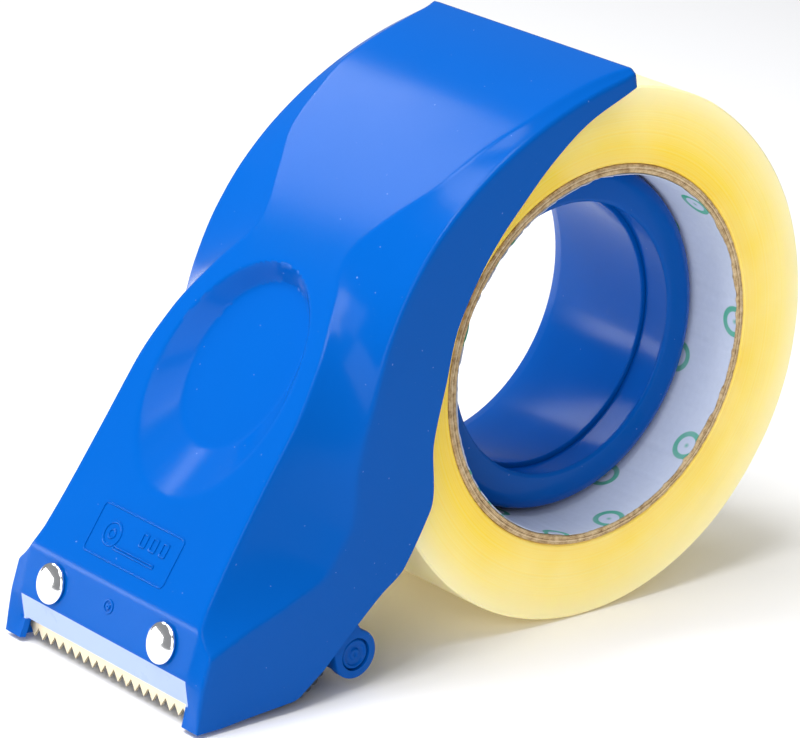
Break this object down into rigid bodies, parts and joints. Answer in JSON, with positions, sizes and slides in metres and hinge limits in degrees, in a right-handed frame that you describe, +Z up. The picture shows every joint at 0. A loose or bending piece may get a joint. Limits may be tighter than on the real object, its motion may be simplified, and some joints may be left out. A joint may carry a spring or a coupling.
{
  "type": "tape dispenser",
  "caption": "Hand-held dispenser for wide packing tape: moulded cover, clip-in wheel with a tape roll, guide roller, pressure pad and a toothed blade at the nose.",
  "frame": {"origin": "on the floor, under the middle of the bounding box, with the roll and the nose's feet standing on the floor", "axes": "+X from the nose to the roll, +Y along the roll's axis from the open side to the closed cheek, +Z up"},
  "size_m": [0.1628, 0.0632, 0.1185],
  "materials": {
    "blue_moulding": "glossy moulded",
    "blue_wheel": "glossy moulded",
    "cardboard": "raw cut edge",
    "lining_paper": "matt",
    "wound_tape": "clear film in many layers",
    "roller_plastic": "satin moulded",
    "pin_plastic": "glossy moulded",
    "black_rubber": "matt",
    "blade_metal": "satin, warm tint",
    "bright_rivet": "polished",
    "washer_steel": "plated"
  },
  "bodies": {
    "dispenser_body": {"body_shell": "blue_moulding", "blade": "blade_metal", "rivet_near": "bright_rivet", "rivet_far": "bright_rivet", "rivet_washer_near": "washer_steel", "rivet_washer_far": "washer_steel", "pressure_pad": "black_rubber", "roller_axle": "pin_plastic"},
    "wheel": {"tape_wheel": "blue_wheel"},
    "tape_roll": {"tape_core": "cardboard", "core_liner": "lining_paper", "tape_winding": "wound_tape"},
    "roller": {"guide_roller": "roller_plastic"}
  },
  "joints": [
    {"name": "roll_spin", "type": "hinge", "parent": "dispenser_body", "child": "tape_roll", "pos_m": [0.02495, 0, 0.0562], "axis": [0, 1, 0], "continuous": true},
    {"name": "wheel_spin", "type": "hinge", "parent": "dispenser_body", "child": "wheel", "pos_m": [0.02495, 0, 0.05665], "axis": [0, 1, 0], "continuous": true},
    {"name": "roller_spin", "type": "hinge", "parent": "dispenser_body", "child": "roller", "pos_m": [-0.04005, 0, 0.0074], "axis": [0, 1, 0], "continuous": true}
  ],
  "couplings": [
    {"joint": "wheel_spin", "follows": "roll_spin", "ratio": 1.0161}
  ]
}
